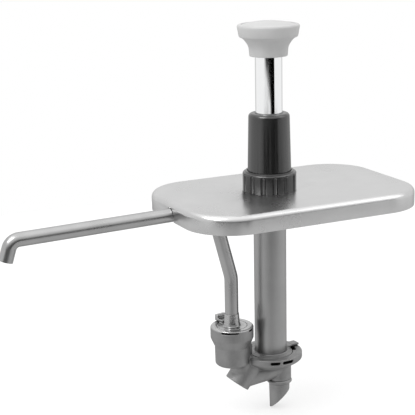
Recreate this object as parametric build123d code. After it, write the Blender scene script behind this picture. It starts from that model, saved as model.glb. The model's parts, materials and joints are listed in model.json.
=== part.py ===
from build123d import *
from math import cos, radians, sin, tan
import os

# Condiment pump on a jar lid. Millimetres, +Z up. The origin is where the pump's axis
# crosses the plane of the lid's bottom rim. The spout points along -X.

# Driving dimensions: lid
LID_LENGTH = 216.0
LID_WIDTH = 144.0
LID_HEIGHT = 15.6
LID_SHEET = 1.2
LID_CORNER_R = 42.0
LID_EDGE_R = 5.0
LID_CENTRE_X = 13.25  # the pump stands off the lid's middle, towards the spout

# Driving dimensions: cylinder and stroke
BORE_R = 13.05
CYLINDER_WALL = 1.25
CYLINDER_DROP = 140.0  # from the lid's rim down to the cylinder's foot
STROKE = 45.0

# Driving dimensions: threaded head, lock nut and plunger guide
THREAD_WALL = 6.0  # from the cylinder's outside to the thread
NECK_RISE = 11.4  # of the threaded neck above the lid
NECK_SHOULDER = 3.0
COLLAR_RIM = 5.7
COLLAR_THICK = 3.0
NUT_WALL = 2.95
NUT_HEIGHT = 16.7
NUT_GROOVES = 14
NUT_GROOVE_R = 2.4
NUT_GROOVE_DEPTH = 1.7
NUT_GROOVE_TURN = -106.4  # angle of one groove
NUT_GROOVE_BELOW_TOP = 3.2
NUT_RIM_RISE = 0.9
NUT_EDGE_R = 1.9
NUT_LIP = 1.7
NUT_LIP_TAPER = 0.2
GUIDE_LENGTH = 53.8  # above its flange
GUIDE_FLANGE = 2.2
GUIDE_LEDGE = 1.4  # of the flange beyond the sleeve's foot
GUIDE_WALL = 6.1  # at the sleeve's tip
GUIDE_SHOULDER_R = 3.2
GUIDE_SPIGOT = 13.0
GUIDE_RELIEF = 1.0
GUIDE_BEARING = 25.0  # length of the sleeve's upper bearing
GUIDE_STEP = 1.0
GUIDE_MOUTH = 0.6

# Driving dimensions: plunger and knob
PLUNGER_WALL = 0.8
PLUNGER_IN_GUIDE = 7.0  # overlap with the guide's lower bearing, at rest
KNOB_GAP = 3.5  # left between the knob and the guide at full stroke
KNOB_R = 26.5
KNOB_HEIGHT = 29.5
KNOB_STEM_WALL = 4.6
KNOB_RIM = 8.8  # height of the rim band
KNOB_CAP_LEDGE = 3.9
KNOB_CAP_THICK = 1.6
KNOB_DOME = 2.9
KNOB_SOCKET = 8.5  # depth of the plunger tube in the knob
KNOB_STEM = 6.0  # height of the stem's plain foot
KNOB_STEM_FLARE = 0.5
KNOB_CROWN = 3.6  # from the rim band's top to the crown's
KNOB_RIM_TAPER = 1.4
KNOB_RIM_STEP = 0.5
KNOB_RIM_LEDGE = 0.9
KNOB_EDGE = 2.2
KNOB_CAP_EDGE = 0.25  # of the cap's edge below the crown
INSERT_DEPTH = 1.5  # of the insert's foot above the knob's foot
INSERT_BOSS_R = 6.5
INSERT_BOSS = 8.0
ROD_R = 4.0
ROD_THREAD_R = 3.0
KNOB_SCREW_R = 2.5
KNOB_SCREW_HEAD_R = 4.6
KNOB_SCREW_HEAD = 2.6
KNOB_SCREW_LENGTH = 7.5
SCREW_SLOT = 1.2
SCREW_FLOOR = 2.5  # of the knob under the screw's head
SCREW_GAP = 0.2
SCREW_HEAD_GAP = 1.4

# Driving dimensions: piston
PISTON_LENGTH = 12.0
PISTON_FLOOR_GAP = 2.0  # left under the rod at full stroke
WASHER = 1.5
WASHER_LEDGE = 0.85
PISTON_NUT = 4.5
PISTON_NUT_FLATS = 10.0
ROD_END = 1.0  # of the rod below its nut
ROD_END_CHAMFER = 0.6
PISTON_RING_SHARES = (0.28, 0.72)  # of the piston's length, down to each ring
RING_WIRE_R = 1.3  # section of the sealing rings

# Driving dimensions: rod bush and return spring
BUSH_LENGTH = 11.0
BUSH_SPIGOT = 6.0
BUSH_VENT_R = 1.6
BUSH_VENTS = 4
CIRCLIP_WIRE_R = 0.7
CIRCLIP_DEPTH = 0.5  # of the circlip in the cylinder's wall
SPRING_WIRE_R = 0.9
SPRING_TURNS = 22

# Driving dimensions: valve body, socket for the cylinder
FLANGE_WALL = 5.0  # from the cylinder's outside to the flange's edge
FLANGE_BELOW_RIM = 0.4
SOCKET_RISE = 7.3  # of the socket's rim above its floor
SOCKET_WALL = 8.7
SOCKET_RIM = 5.9  # height of the rim's upright side
SOCKET_CONE = 6.9
SOCKET_CONE_IN = 11.0
SOCKET_EDGE = 1.5
SOCKET_EDGE_DROP = 0.9
SOCKET_EDGE_RISE = 0.6
LIP_LEDGE = 4.1
LIP_STEP = 0.6
LUG_REACH = 3.4
LUG_THICK = 2.3
LUG_BELOW_RIM = 1.6
LUG_ANGLES = (-56.0, 92.0)
LUG_WIDTH = 24.0
ENTRY_PLAY = 4.0  # angle by which a lug's entry is wider than the lug
LOCK_TWIST = 48.0
SOCKET_WINDOWS = ((-110.0, 18.0), (-84.5, 23.0), (70.0, 18.0))  # angle and width
GASKET = 1.0
GASKET_EDGE = 0.3
HUB_WALL = 3.3
HUB_RISE = 1.6
HUB_TIP_WALL = 0.8
HUB_EDGE = 0.9
HUB_EDGE_RISE = 0.6
HUB_COVE_RISE = 1.0
HUB_TAPER = 0.2
EAR_ANGLE = 6.0
EAR_WIDTH = 7.6
EAR_RISE = 2.4
EAR_ARM = 1.3
EAR_OVERHANG = 0.4  # beyond the socket's wall
EAR_FOOT = 3.4
EAR_FOOT_WALL = 1.3  # from the cylinder's outside to the foot
EAR_EDGE_R = 0.9

# Driving dimensions: valve body, outlet cup
CUP_ABOVE_FOOT = 38.2  # of the cup's rim above the cylinder's foot
CUP_WALL = 5.7
CUP_RIM = 10.9  # height of the cup's wide part
CUP_CHAMFER = 7.0
CUP_NARROW_WALL = 2.1
CUP_TAPER = 0.3
CUP_EDGE = 1.5
CUP_STEP = 0.5  # inwards, at the foot of the chamfer
CUP_RIM_EDGE = 1.2
CUP_LENGTH = 36.0
FITTING_WALL = 7.35
FITTING_LENGTH = 17.2
CUP_PLENUM = 3.0  # open height under the fitting
FITTING_GROOVE = 5.5  # middle of the seal's groove above the fitting's foot
CUP_LUG_REACH = 2.7
CUP_LUG_THICK = 1.3
CUP_LUG_BELOW_RIM = 1.5
CUP_LUG_ANGLES = (20.0, 200.0)
CUP_LUG_WIDTH = 30.0
CUP_TWIST = 55.0
CUP_WINDOWS = ((-122.0, 49.0), (-52.0, 24.0), (50.0, 40.0))
CUP_EAR_ANGLE = 101.0
CUP_EAR_WIDTH = 9.0
CUP_EAR_RISE = 6.0
CUP_EAR_ARM = 2.2
CUP_EAR_BLOCK = 4.5
CUP_EAR_FOOT = 4.4
CUP_EAR_START = 1.5  # from the tube's outside
CUP_EAR_EDGE_R = 1.4
FLARE_RISE = 11.0
FLARE_WALL = 1.9
FLARE_EDGE = 0.8
FLARE_EDGE_RISE = 2.6
FLARE_TIP_WALL = 0.5
FLARE_NECK_SHARE = 0.55  # of the flare's height, up to its narrow part
FITTING_STEP = 0.2

# Driving dimensions: ball valves
BALL_R = 5.5
BALL_SIDE_GAP = 1.7
BALL_LIFT = 2.8
BALL_REST_GAP = 0.05
SEAT_LEDGE = 1.5
SEAT_THICK = 1.5
INTAKE_OFFSET = 4.55  # of the intake's axis inside the bore's wall
OUTLET_OFFSET = 5.2  # of the outlet ball's axis from the cup's axis

# Driving dimensions: intake neck and nose
NECK_WALL = 2.15
NECK_LENGTH = 20.5  # below the cylinder's foot
NOSE_THREAD_WALL = 1.4
NOSE_BEAD_WALL = 0.65
NOSE_BEAD = 4.6
NOSE_DROP = 27.9  # from the neck's foot to the nose's tip
NOSE_TOP_WALL = 3.0
NOSE_TAPER = 0.6
NOSE_SLANT = 44.5
NOSE_TURN = -28.5  # of the slanting cut about the nose's axis
NOSE_BORE_R = 6.3
NOSE_FLOOR = 1.0  # of the wide bore's end below the neck's foot
NOSE_BEAD_EDGE = 0.8
NOSE_BEAD_RISE = 1.6
NOSE_BEAD_BAND = 1.0

# Driving dimensions: transfer passage
PASSAGE_R = 4.6
CHAMBER_PORT_SHARE = 0.5  # of the bore's radius, to the outlet port's axis
PASSAGE_DROP = 9.1  # of the cross passage's end below the cylinder's foot
STUB_FACE_IN = 4.0  # from the cup's axis to the middle of the stub's face
STUB_FACE_DROP = 17.5  # below the cylinder's foot
STUB_TILT = 38.0
STUB_R = 11.5
STUB_LENGTH = 27.0
STUB_BORE_R = 6.0
STUB_BORE = 13.0
PASSAGE_START = 8.0  # of the cross passage, in from the stub's face
RISE_START = 12.0  # of the outlet's upright passage, in from the stub's face
PLUG_R = 8.0
PLUG_THICK = 4.5
PLUG_SLOT = 1.6
PLUG_SUNK = 0.3
BOSS_IN = 9.6
BOSS_R = 10.5
BRIDGE_R = 10.5
BRIDGE_IN = 8.6
BRIDGE_LOW = 12.3  # of the bridge's axis below the cylinder's foot, at the cup
BRIDGE_HIGH = 8.5  # and at the intake
WEB_THICK = 4.5
WEB_RISE = 12.0
WEB_CORNER = 3.0
WEB_CORNER_IN = 1.5

# Driving dimensions: discharge tube
TUBE_R = 5.95
TUBE_WALL = 1.0
TUBE_SEAT = 8.2  # depth of the tube in its fitting
RISER_STRAIGHT = 43.7  # from the cup's rim to the riser's bend
RISER_LEAN = 14.8
RISER_BEND_R = 26.0
SPOUT_START_Z = 5.75
SPOUT_DROOP = 1.1
SPOUT_BEND_R = 20.0
SPOUT_REACH = 232.3  # from the pump's axis to the corner of the tip bend
TIP_BEND_R = 9.0
TIP_LENGTH = 17.3
TIP_LEAN = 18.0

# Fits and gaps
RUNNING = 0.05  # radial clearance of a moving fit
SNUG = 0.02  # radial clearance of a brazed, pressed or threaded fit
TWIST_GAP = 0.15  # round a bayonet disc
LUG_GAP = 0.1  # over and under a bayonet lug
EAR_GAP = 0.3  # under a finger ear
NOTCH_REACH = 3.0  # of the notch's cutter outside the skirt
NOTCH_GAP = 0.7  # between the spout and the notch in the lid's skirt
HOLE_GAP = 0.3  # between the neck and the hole in the lid
NUT_LIP_GAP = 0.4
PLUNGER_GAP = 1.45  # between the plunger tube and the cylinder
SPRING_GAP = 1.0  # between the spring and the plunger tube
SPIGOT_GAP = 0.6  # between the bush's spigot and the spring
BUSH_GAP = 5.0  # between the plunger tube and the bush at full stroke
BALL_STOP_GAP = 0.3
FLANGE_EDGE_GAP = 0.1  # round the guide's flange, inside the nut
OVERLAP = 1.0  # of a cutter past a face, or of a joined piece into its neighbour

# Radii that follow
CYLINDER_R = BORE_R + CYLINDER_WALL
THREAD_R = CYLINDER_R + THREAD_WALL
NUT_R = THREAD_R + NUT_WALL
PLUNGER_R = BORE_R - PLUNGER_GAP
SPRING_R = PLUNGER_R - PLUNGER_WALL - SPRING_GAP - SPRING_WIRE_R
PISTON_R = BORE_R - RUNNING
FLANGE_R = CYLINDER_R + FLANGE_WALL
SOCKET_R = FLANGE_R + SOCKET_WALL
FITTING_R = TUBE_R + FITTING_WALL
CUP_R = FITTING_R + CUP_WALL
CUP_NARROW_R = FITTING_R + CUP_NARROW_WALL
SEAT_R = BALL_R - SEAT_LEDGE
BALL_SPACE_R = BALL_R + BALL_SIDE_GAP
NOSE_THREAD_R = BALL_SPACE_R + NOSE_THREAD_WALL
NECK_R = NOSE_THREAD_R + NECK_WALL

# Places that follow
LID_UNDER_Z = LID_HEIGHT - LID_SHEET
NECK_TOP_Z = LID_HEIGHT + NECK_RISE
CYLINDER_TOP_Z = NECK_TOP_Z - NECK_SHOULDER
GUIDE_FLANGE_TOP_Z = NECK_TOP_Z + GUIDE_FLANGE
GUIDE_TOP_Z = GUIDE_FLANGE_TOP_Z + GUIDE_LENGTH
NUT_TOP_Z = LID_HEIGHT + NUT_HEIGHT
PLUNGER_FOOT_Z = NECK_TOP_Z - PLUNGER_IN_GUIDE
KNOB_FOOT_Z = GUIDE_TOP_Z + STROKE + KNOB_GAP
KNOB_TOP_Z = KNOB_FOOT_Z + KNOB_HEIGHT
KNOB_RECESS_Z = KNOB_TOP_Z - KNOB_DOME - KNOB_CAP_THICK
INSERT_Z = KNOB_FOOT_Z + INSERT_DEPTH
TUBE_TOP_Z = KNOB_FOOT_Z + KNOB_SOCKET
SCREW_SEAT_Z = TUBE_TOP_Z + INSERT_BOSS + SCREW_FLOOR
BUSH_TOP_Z = PLUNGER_FOOT_Z - STROKE - BUSH_GAP
BUSH_FOOT_Z = BUSH_TOP_Z - BUSH_LENGTH
CYLINDER_FOOT_Z = -CYLINDER_DROP
ROD_FOOT_Z = CYLINDER_FOOT_Z + PISTON_FLOOR_GAP + STROKE
PISTON_NUT_Z = ROD_FOOT_Z + ROD_END + PISTON_NUT
PISTON_FOOT_Z = PISTON_NUT_Z + WASHER
PISTON_TOP_Z = PISTON_FOOT_Z + PISTON_LENGTH
ROD_SHOULDER_Z = PISTON_TOP_Z + WASHER
SOCKET_TOP_Z = CYLINDER_FOOT_Z + SOCKET_RISE
SOCKET_RIM_Z = SOCKET_TOP_Z - SOCKET_RIM
LUG_TOP_Z = SOCKET_TOP_Z - LUG_BELOW_RIM
CUP_TOP_Z = CYLINDER_FOOT_Z + CUP_ABOVE_FOOT
CUP_FOOT_Z = CUP_TOP_Z - CUP_LENGTH
CUP_LUG_TOP_Z = CUP_TOP_Z - CUP_LUG_BELOW_RIM
FITTING_FOOT_Z = CUP_TOP_Z - FITTING_LENGTH
FITTING_GROOVE_Z = FITTING_FOOT_Z + FITTING_GROOVE
OUTLET_X = -(FLANGE_R + CUP_R + EAR_GAP)
OUTLET_PORT_X = OUTLET_X + OUTLET_OFFSET
INTAKE_X = BORE_R - INTAKE_OFFSET
CHAMBER_PORT_X = -BORE_R * CHAMBER_PORT_SHARE
BALL_HEIGHT = (BALL_R**2 - SEAT_R**2) ** 0.5 + BALL_REST_GAP
INTAKE_STOP = (BALL_R**2 - INTAKE_OFFSET**2) ** 0.5
BALL_ROOM = BALL_HEIGHT + BALL_LIFT + BALL_STOP_GAP
INTAKE_SEAT_Z = CYLINDER_FOOT_Z - INTAKE_STOP - BALL_ROOM
OUTLET_SEAT_Z = FITTING_FOOT_Z - BALL_R - BALL_ROOM
NECK_FOOT_Z = CYLINDER_FOOT_Z - NECK_LENGTH
NOSE_TIP_Z = NECK_FOOT_Z - NOSE_DROP
NOSE_TOP_R = NOSE_BORE_R + NOSE_TOP_WALL
NOSE_TIP_R = NOSE_TOP_R - NOSE_TAPER
STUB_FACE_X = OUTLET_X + STUB_FACE_IN
STUB_FACE_Z = CYLINDER_FOOT_Z - STUB_FACE_DROP
RISER_BEND_Z = CUP_TOP_Z + RISER_STRAIGHT


def turned(outline, x=0.0):
    """Solid of revolution about the upright line at x. The outline is a closed list of (radius, z)."""
    face = make_face(Polyline([(r, 0, z) for r, z in outline], close=True))
    return Pos(x, 0, 0) * revolve(face, Axis.Z)


def disc(radius, bottom, top, x=0.0):
    """Upright solid cylinder."""
    return Pos(x, 0, bottom) * extrude(Circle(radius), top - bottom)


def ring(outer, inner, bottom, top, x=0.0):
    """Upright solid ring."""
    return Pos(x, 0, bottom) * extrude(Circle(outer) - Circle(inner), top - bottom)


def wedge(reach, bottom, top, angle, width, x=0.0):
    """Upright slice of pie, angle to its middle, for cutting or keeping a sector."""
    edges = [radians(angle + share * width) for share in (-0.5, 0, 0.5)]
    points = [(1.3 * reach * cos(edge), 1.3 * reach * sin(edge)) for edge in edges]
    slice_of_pie = make_face(Polyline((0, 0), *points, close=True))
    return Pos(x, 0, bottom) * extrude(slice_of_pie, top - bottom)


def sector(outer, inner, bottom, top, angle, width, x=0.0):
    """Upright part of a ring that spans width degrees about angle."""
    return ring(outer, inner, bottom, top, x) & wedge(outer, bottom, top, angle, width, x)


def rod_between(radius, start, end):
    """Solid cylinder in the plane Y = 0 between two (x, z) points."""
    first = Vector(start[0], 0, start[1])
    along = Vector(end[0], 0, end[1]) - first
    return extrude(Plane(first, z_dir=along) * Circle(radius), along.length)


def circles_at(solid, z):
    """The solid's round edges in the level plane at z."""
    edges = solid.edges().filter_by(GeomType.CIRCLE)
    return edges.filter_by(lambda edge: abs(edge.center().Z - z) < 1e-4)


def seal_ring(radius, z, x=0.0, wire=RING_WIRE_R):
    """Round-section ring; radius is to the middle of its section."""
    return Pos(x, 0, z) * Torus(radius, wire)


def lid():
    """Pressed sheet lid with a skirt, a hole for the neck and a notch for the spout."""
    outer = extrude(RectangleRounded(LID_LENGTH, LID_WIDTH, LID_CORNER_R), LID_HEIGHT)
    outer = fillet(outer.faces().sort_by(Axis.Z)[-1].edges(), LID_EDGE_R)
    inner_length = LID_LENGTH - 2 * LID_SHEET
    inner_width = LID_WIDTH - 2 * LID_SHEET
    inner = RectangleRounded(inner_length, inner_width, LID_CORNER_R - LID_SHEET)
    inner = extrude(inner, LID_UNDER_Z)
    inner = fillet(inner.faces().sort_by(Axis.Z)[-1].edges(), LID_EDGE_R - LID_SHEET)
    shell = Pos(LID_CENTRE_X, 0, 0) * (outer - inner)
    shell -= disc(THREAD_R + HOLE_GAP, 0, LID_HEIGHT + OVERLAP)
    return shell - spout_notch()


def spout_notch():
    """U-shaped cut in the skirt, open at the rim, round the spout."""
    left_end = LID_CENTRE_X - LID_LENGTH / 2
    radius = TUBE_R + NOTCH_GAP
    middle = spout_height(left_end)
    depth = 2 * NOTCH_REACH + LID_EDGE_R
    across = Plane((left_end - NOTCH_REACH, 0, middle), x_dir=(0, 1, 0), z_dir=(1, 0, 0))
    arch = extrude(across * Circle(radius), depth)
    below = Pos(left_end + LID_EDGE_R / 2, 0, middle / 2 - OVERLAP)
    return arch + below * Box(depth, 2 * radius, middle + 2 * OVERLAP)


def lock_nut():
    """Black nut with finger grooves, screwed on the neck over the guide's flange."""
    lip_r = THREAD_R - GUIDE_LEDGE + NUT_LIP_GAP
    outline = [
        (THREAD_R + RUNNING, LID_HEIGHT),
        (NUT_R, LID_HEIGHT),
        (NUT_R, NUT_TOP_Z),
        (lip_r + NUT_LIP, NUT_TOP_Z),
        (lip_r + NUT_LIP - NUT_LIP_TAPER, NUT_TOP_Z + NUT_RIM_RISE),
        (lip_r, NUT_TOP_Z + NUT_RIM_RISE),
        (lip_r, GUIDE_FLANGE_TOP_Z),
        (THREAD_R + RUNNING, GUIDE_FLANGE_TOP_Z),
    ]
    nut = turned(outline)
    rim = circles_at(nut, NUT_TOP_Z).sort_by(SortBy.RADIUS)[-1]
    nut = fillet(rim, NUT_EDGE_R)
    reach = NUT_R + NUT_GROOVE_R - NUT_GROOVE_DEPTH
    groove_top = NUT_TOP_Z - NUT_GROOVE_BELOW_TOP
    groove = disc(NUT_GROOVE_R, LID_HEIGHT - OVERLAP, groove_top, reach)
    groove += Pos(reach, 0, groove_top) * Sphere(NUT_GROOVE_R)
    for turn in range(NUT_GROOVES):
        nut -= Rot(0, 0, NUT_GROOVE_TURN + turn * 360 / NUT_GROOVES) * groove
    return nut


def plunger_guide():
    """Black tapered sleeve that guides the plunger, with a spigot down the neck."""
    bore = PLUNGER_R + RUNNING
    foot_r = THREAD_R - GUIDE_LEDGE
    tip_r = PLUNGER_R + GUIDE_WALL
    flange_r = THREAD_R - FLANGE_EDGE_GAP
    relief_top = GUIDE_TOP_Z - GUIDE_BEARING
    relief_bottom = NECK_TOP_Z + GUIDE_STEP
    outline = [
        (bore, NECK_TOP_Z - GUIDE_SPIGOT),
        (BORE_R - SNUG, NECK_TOP_Z - GUIDE_SPIGOT),
        (BORE_R - SNUG, NECK_TOP_Z),
        (flange_r, NECK_TOP_Z),
        (flange_r, GUIDE_FLANGE_TOP_Z),
        (foot_r, GUIDE_FLANGE_TOP_Z),
        (tip_r, GUIDE_TOP_Z - GUIDE_SHOULDER_R),
        (tip_r, GUIDE_TOP_Z),
        (bore, GUIDE_TOP_Z),
        (bore, relief_top),
        (bore + GUIDE_RELIEF, relief_top - GUIDE_STEP),
        (bore + GUIDE_RELIEF, relief_bottom + GUIDE_STEP),
        (bore, relief_bottom),
    ]
    sleeve = turned(outline)
    top_edges = circles_at(sleeve, GUIDE_TOP_Z).sort_by(SortBy.RADIUS)
    sleeve = fillet(top_edges[-1], 0.97 * GUIDE_SHOULDER_R)
    return chamfer(circles_at(sleeve, GUIDE_TOP_Z).sort_by(SortBy.RADIUS)[0], GUIDE_MOUTH)


def cylinder_head():
    """Threaded neck through the lid, with the collar that bears up against it."""
    outline = [
        (CYLINDER_R + SNUG, LID_UNDER_Z - COLLAR_THICK),
        (THREAD_R + COLLAR_RIM, LID_UNDER_Z - COLLAR_THICK),
        (THREAD_R + COLLAR_RIM, LID_UNDER_Z),
        (THREAD_R, LID_UNDER_Z),
        (THREAD_R, NECK_TOP_Z),
        (BORE_R, NECK_TOP_Z),
        (BORE_R, CYLINDER_TOP_Z),
        (CYLINDER_R + SNUG, CYLINDER_TOP_Z),
    ]
    return turned(outline)


def cylinder_tube():
    """Drawn tube that the piston runs in, with a groove inside for the circlip."""
    tube = ring(CYLINDER_R, BORE_R, CYLINDER_FOOT_Z, CYLINDER_TOP_Z)
    return tube - bush_circlip()


def bush_circlip():
    """Wire ring, sprung into the cylinder's groove under the rod bush."""
    radius = BORE_R + CIRCLIP_DEPTH - CIRCLIP_WIRE_R
    return seal_ring(radius, BUSH_FOOT_Z - CIRCLIP_WIRE_R, wire=CIRCLIP_WIRE_R)


def rod_bush():
    """Plastic bush in the cylinder: it guides the rod and seats the spring."""
    spigot_r = SPRING_R - SPRING_WIRE_R - SPIGOT_GAP
    bush = ring(BORE_R - SNUG, ROD_R + RUNNING, BUSH_FOOT_Z, BUSH_TOP_Z)
    bush += ring(spigot_r, ROD_R + RUNNING, BUSH_TOP_Z, BUSH_TOP_Z + BUSH_SPIGOT)
    vent = disc(BUSH_VENT_R, BUSH_FOOT_Z - OVERLAP, BUSH_TOP_Z + OVERLAP, BORE_R)
    for turn in range(BUSH_VENTS):
        bush -= Rot(0, 0, (turn + 0.5) * 360 / BUSH_VENTS) * vent
    return bush


def return_spring():
    """Compression spring round the rod, from the bush up to the knob insert."""
    bottom = BUSH_TOP_Z + SPRING_WIRE_R
    height = INSERT_Z - SPRING_WIRE_R - bottom
    path = Pos(0, 0, bottom) * Helix(height / SPRING_TURNS, height, SPRING_R)
    section = Plane(path @ 0, z_dir=path % 0) * Circle(SPRING_WIRE_R)
    return sweep(section, path=path, is_frenet=True)


def cylinder_flange():
    """Foot of the cylinder: disc with bayonet lugs, a hub and a finger ear."""
    foot = CYLINDER_FOOT_Z + GASKET
    top = SOCKET_TOP_Z - FLANGE_BELOW_RIM
    hub_top = top + HUB_RISE
    hub_r = CYLINDER_R + HUB_WALL
    tip_r = CYLINDER_R + HUB_TIP_WALL
    outline = [
        (CYLINDER_R + SNUG, foot),
        (FLANGE_R, foot),
        (FLANGE_R, top),
        (hub_r, top),
        (hub_r - HUB_EDGE, top + HUB_EDGE_RISE),
        (tip_r + HUB_TAPER, top + HUB_COVE_RISE),
        (tip_r, hub_top),
        (CYLINDER_R + SNUG, hub_top),
    ]
    flange = turned(outline)
    reach = FLANGE_R + LUG_REACH - TWIST_GAP
    bottom = LUG_TOP_Z - LUG_THICK
    for angle in LUG_ANGLES:
        flange += sector(reach, FLANGE_R - OVERLAP, bottom, LUG_TOP_Z, angle, LUG_WIDTH)
    return flange + flange_ear(top)


def flange_ear(top):
    """Finger ear that twists the cylinder in its socket."""
    arm_bottom = SOCKET_TOP_Z + EAR_GAP
    arm_top = arm_bottom + EAR_ARM
    arm_start = CYLINDER_R + HUB_TIP_WALL
    arm_end = SOCKET_R + EAR_OVERHANG
    arm_length = arm_end - arm_start
    arm = Pos(arm_start + arm_length / 2, 0, (arm_bottom + arm_top) / 2)
    arm = arm * Box(arm_length, EAR_WIDTH, arm_top - arm_bottom)
    block_length = SOCKET_R - FLANGE_R - OVERLAP
    block_top = SOCKET_TOP_Z + EAR_RISE
    block = Pos(arm_end - block_length / 2, 0, (arm_bottom + block_top) / 2)
    block = block * Box(block_length, EAR_WIDTH, block_top - arm_bottom)
    block = fillet(block.edges().filter_by(Axis.Y).group_by(Axis.Z)[-1], EAR_EDGE_R)
    foot_height = arm_bottom - top
    foot_x = CYLINDER_R + EAR_FOOT_WALL + EAR_FOOT / 2
    foot = Pos(foot_x, 0, top + foot_height / 2) * Box(EAR_FOOT, EAR_WIDTH, foot_height)
    return Rot(0, 0, EAR_ANGLE) * (arm + block + foot)


def flange_gasket():
    """Flat rubber ring under the cylinder's flange."""
    outer = FLANGE_R - GASKET_EDGE
    inner = CYLINDER_R + GASKET_EDGE
    return ring(outer, inner, CYLINDER_FOOT_Z, CYLINDER_FOOT_Z + GASKET)


def stub_point(depth):
    """Point (x, z) on the drilled stub's axis, depth in from its flat face."""
    tilt = radians(STUB_TILT)
    return (STUB_FACE_X + depth * sin(tilt), STUB_FACE_Z + depth * cos(tilt))


def valve_castings():
    """Outer shape of the valve body, before its hollows are cut."""
    socket = turned(
        [
            (0, SOCKET_RIM_Z - SOCKET_CONE),
            (SOCKET_R - SOCKET_CONE_IN, SOCKET_RIM_Z - SOCKET_CONE),
            (SOCKET_R - SOCKET_EDGE, SOCKET_RIM_Z - SOCKET_EDGE_DROP),
            (SOCKET_R, SOCKET_RIM_Z + SOCKET_EDGE_RISE),
            (SOCKET_R, SOCKET_TOP_Z),
            (FLANGE_R + LIP_LEDGE, SOCKET_TOP_Z),
            (FLANGE_R + LIP_LEDGE, SOCKET_TOP_Z - LIP_STEP),
            (0, SOCKET_TOP_Z - LIP_STEP),
        ]
    )
    cup_chamfer_z = CUP_TOP_Z - CUP_RIM
    cup = turned(
        [
            (0, CUP_FOOT_Z),
            (CUP_NARROW_R - CUP_TAPER - CUP_EDGE, CUP_FOOT_Z),
            (CUP_NARROW_R - CUP_TAPER, CUP_FOOT_Z + CUP_EDGE),
            (CUP_NARROW_R, cup_chamfer_z - CUP_CHAMFER),
            (CUP_NARROW_R + CUP_STEP, cup_chamfer_z - CUP_CHAMFER),
            (CUP_R, cup_chamfer_z),
            (CUP_R, CUP_TOP_Z - CUP_RIM_EDGE),
            (CUP_R - CUP_RIM_EDGE, CUP_TOP_Z),
            (0, CUP_TOP_Z),
        ],
        OUTLET_X,
    )
    neck = disc(NECK_R, NECK_FOOT_Z, CYLINDER_FOOT_Z - OVERLAP, INTAKE_X)
    boss_foot = stub_point(RISE_START)[1]
    boss = disc(BOSS_R, boss_foot, CUP_FOOT_Z + WEB_CORNER, OUTLET_X + BOSS_IN)
    stub = rod_between(STUB_R, stub_point(0), stub_point(STUB_LENGTH))
    bridge_start = (OUTLET_X + BRIDGE_IN, CYLINDER_FOOT_Z - BRIDGE_LOW)
    bridge = rod_between(BRIDGE_R, bridge_start, (INTAKE_X, CYLINDER_FOOT_Z - BRIDGE_HIGH))
    return socket + cup + neck + boss + stub + bridge + web()


def web():
    """Thin rib that ties the cup's wall to the socket's rim, under the cup's wide part."""
    start = OUTLET_X + CUP_NARROW_R - WEB_CORNER
    foot = SOCKET_TOP_Z - OVERLAP
    top = SOCKET_TOP_Z + WEB_RISE
    end = -FLANGE_R - EAR_GAP
    points = [
        (start, 0, foot),
        (end, 0, foot),
        (end, 0, top - WEB_CORNER),
        (end - WEB_CORNER_IN, 0, top),
        (start, 0, top),
    ]
    face = make_face(Polyline(points, close=True))
    return extrude(face, WEB_THICK / 2, both=True)


def socket_hollow():
    """Bayonet seat for the cylinder's flange: bore, lug track, entries and windows."""
    bore = FLANGE_R + TWIST_GAP
    track = FLANGE_R + LUG_REACH
    track_bottom = LUG_TOP_Z - LUG_THICK - LUG_GAP
    track_top = LUG_TOP_Z + LUG_GAP
    inside = bore - OVERLAP
    top = SOCKET_TOP_Z + OVERLAP
    hollow = disc(bore, CYLINDER_FOOT_Z, top)
    hollow += ring(track, inside, track_bottom, track_top)
    for angle in LUG_ANGLES:
        entry = angle + LOCK_TWIST
        width = LUG_WIDTH + ENTRY_PLAY
        hollow += sector(track, inside, track_top - OVERLAP, top, entry, width)
    outside = SOCKET_R + OVERLAP
    for angle, width in SOCKET_WINDOWS:
        hollow += sector(outside, track - OVERLAP, track_bottom, track_top, angle, width)
    return hollow


def cup_hollow():
    """Bayonet seat for the discharge fitting, with the same features as the socket."""
    bore = FITTING_R + TWIST_GAP
    track = FITTING_R + CUP_LUG_REACH
    track_bottom = CUP_LUG_TOP_Z - CUP_LUG_THICK - LUG_GAP
    track_top = CUP_LUG_TOP_Z + LUG_GAP
    inside = bore - OVERLAP
    top = CUP_TOP_Z + OVERLAP
    hollow = disc(bore, FITTING_FOOT_Z - CUP_PLENUM, top, OUTLET_X)
    hollow += ring(track, inside, track_bottom, track_top, OUTLET_X)
    for angle in CUP_LUG_ANGLES:
        entry = angle + CUP_TWIST
        width = CUP_LUG_WIDTH + ENTRY_PLAY
        hollow += sector(track, inside, track_top - OVERLAP, top, entry, width, OUTLET_X)
    window_r = (CUP_R + OVERLAP, track - OVERLAP)
    for angle, width in CUP_WINDOWS:
        hollow += sector(*window_r, track_bottom, track_top, angle, width, OUTLET_X)
    return hollow


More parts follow.
